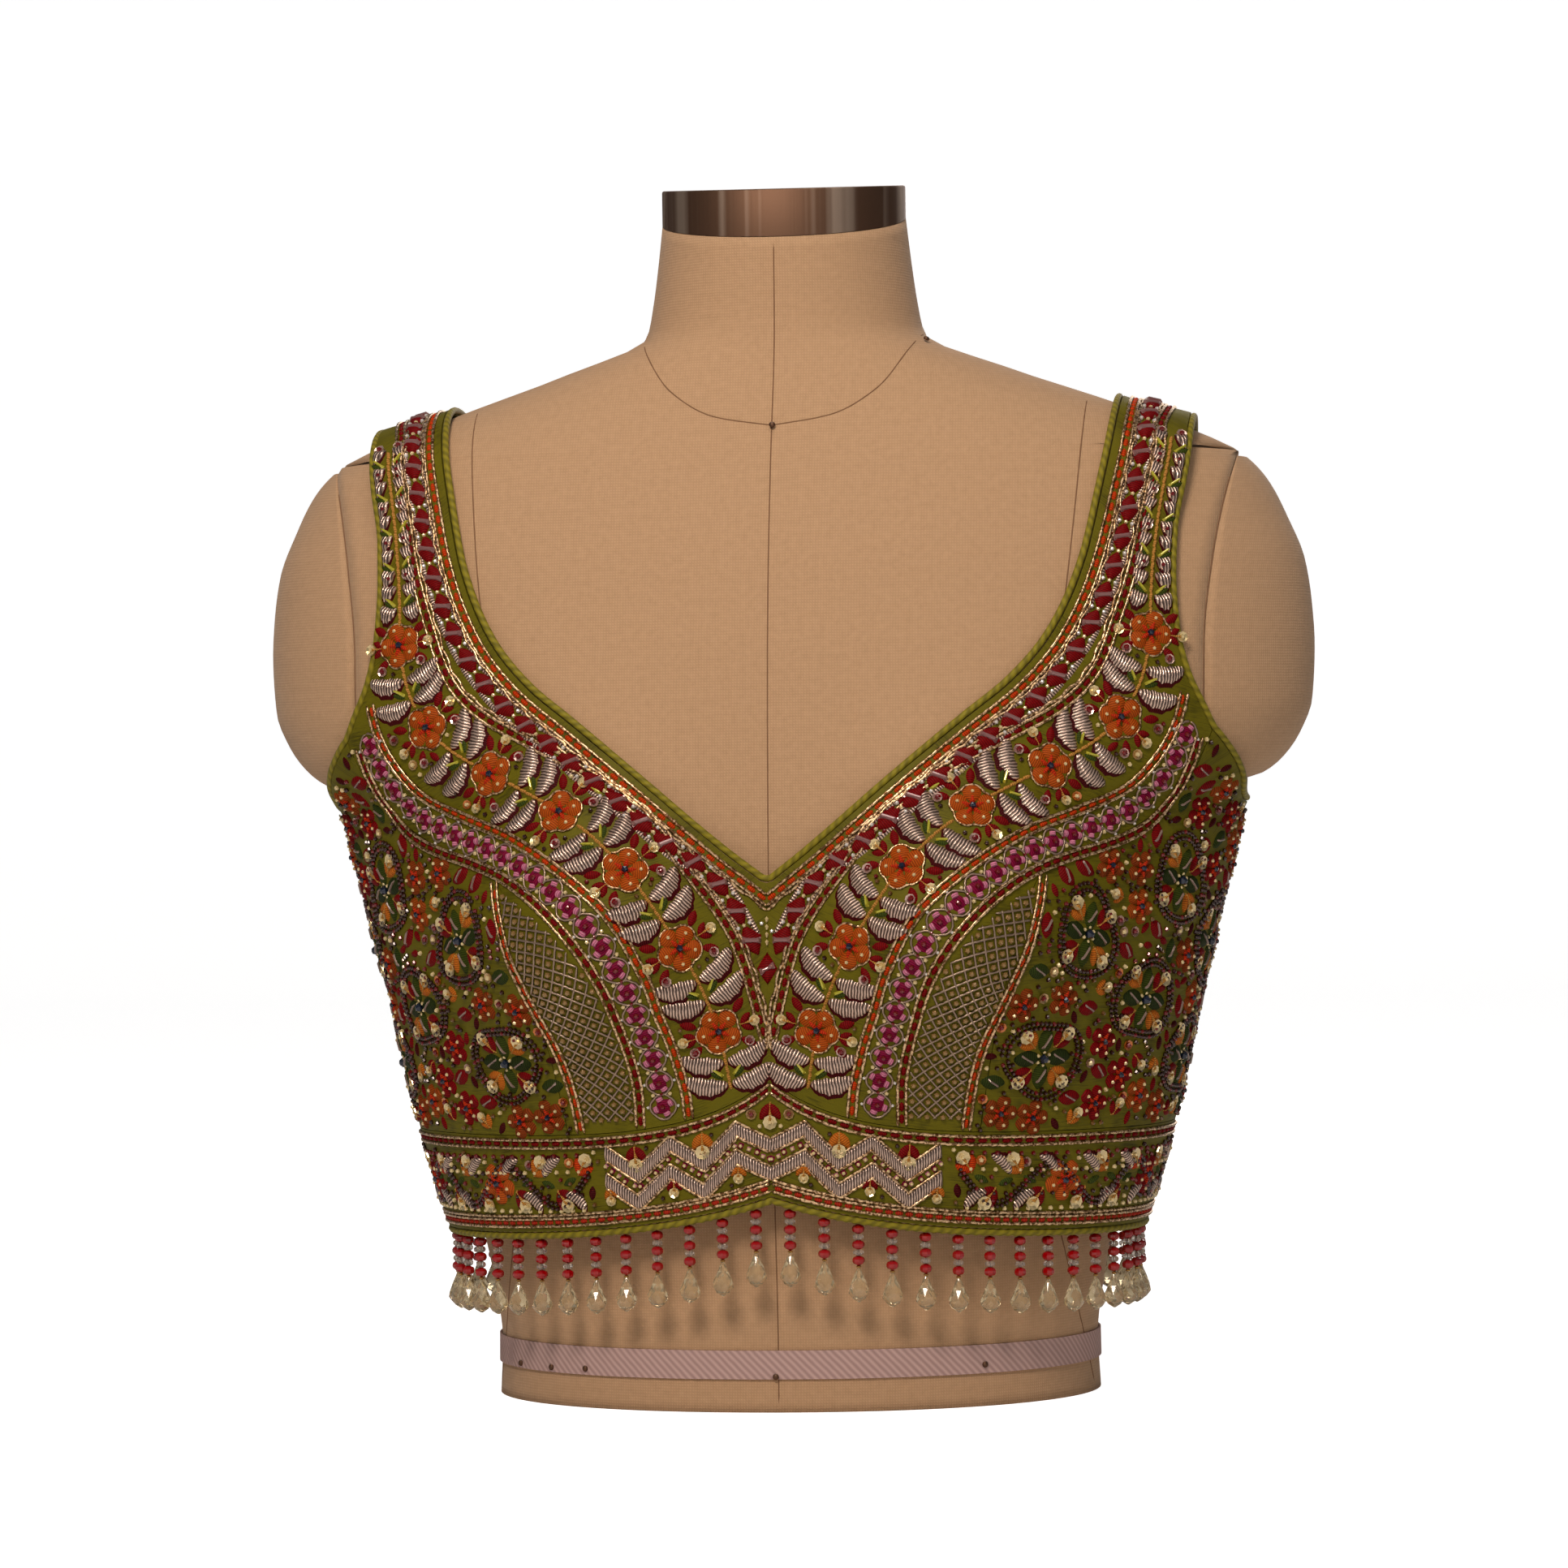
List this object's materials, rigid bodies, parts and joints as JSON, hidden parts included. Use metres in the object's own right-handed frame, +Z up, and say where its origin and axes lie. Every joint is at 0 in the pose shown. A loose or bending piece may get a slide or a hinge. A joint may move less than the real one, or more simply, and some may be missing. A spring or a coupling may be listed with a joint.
{
  "type": "choli blouse on dress form",
  "caption": "Sleeveless embroidered blouse with a deep pointed sweetheart neck, princess seams, a pointed under-bust band and a bead fringe, on a limbless linen dress form with a steel cap",
  "frame": {"origin": "middle of the flat base that the dress form stands on", "axes": "+Z up, -Y to the front of the blouse, +X to the wearer's left"},
  "size_m": [0.431, 0.2415, 0.4999],
  "materials": {
    "beige_linen": "plain woven linen stretched over a padded form",
    "brushed_steel": "brushed round the neck",
    "lilac_tape": "flat woven tape",
    "olive_silk": "padded silk covered with thread, sequin and bead embroidery",
    "green_piping": "silk cut on the bias over cord",
    "silver_thread": "metallic thread stitched over padding",
    "champagne_crystal": "faceted clear, red and champagne beads"
  },
  "bodies": {
    "root": {"front_centre": "olive_silk", "front_side_left": "olive_silk", "front_side_right": "olive_silk", "back_centre_left": "olive_silk", "back_centre_right": "olive_silk", "back_side_left": "olive_silk", "back_side_right": "olive_silk", "front_band": "olive_silk", "back_band_left": "olive_silk", "back_band_right": "olive_silk", "neck_piping": "green_piping", "armhole_piping_left": "green_piping", "armhole_piping_right": "green_piping", "hem_piping": "green_piping", "zigzag_upper": "silver_thread", "zigzag_lower": "silver_thread", "bead_fringe": "champagne_crystal", "form_torso": "beige_linen", "form_shoulder_left": "beige_linen", "form_shoulder_right": "beige_linen", "form_neck_cap": "brushed_steel", "form_waist_tape": "lilac_tape"}
  },
  "joints": []
}
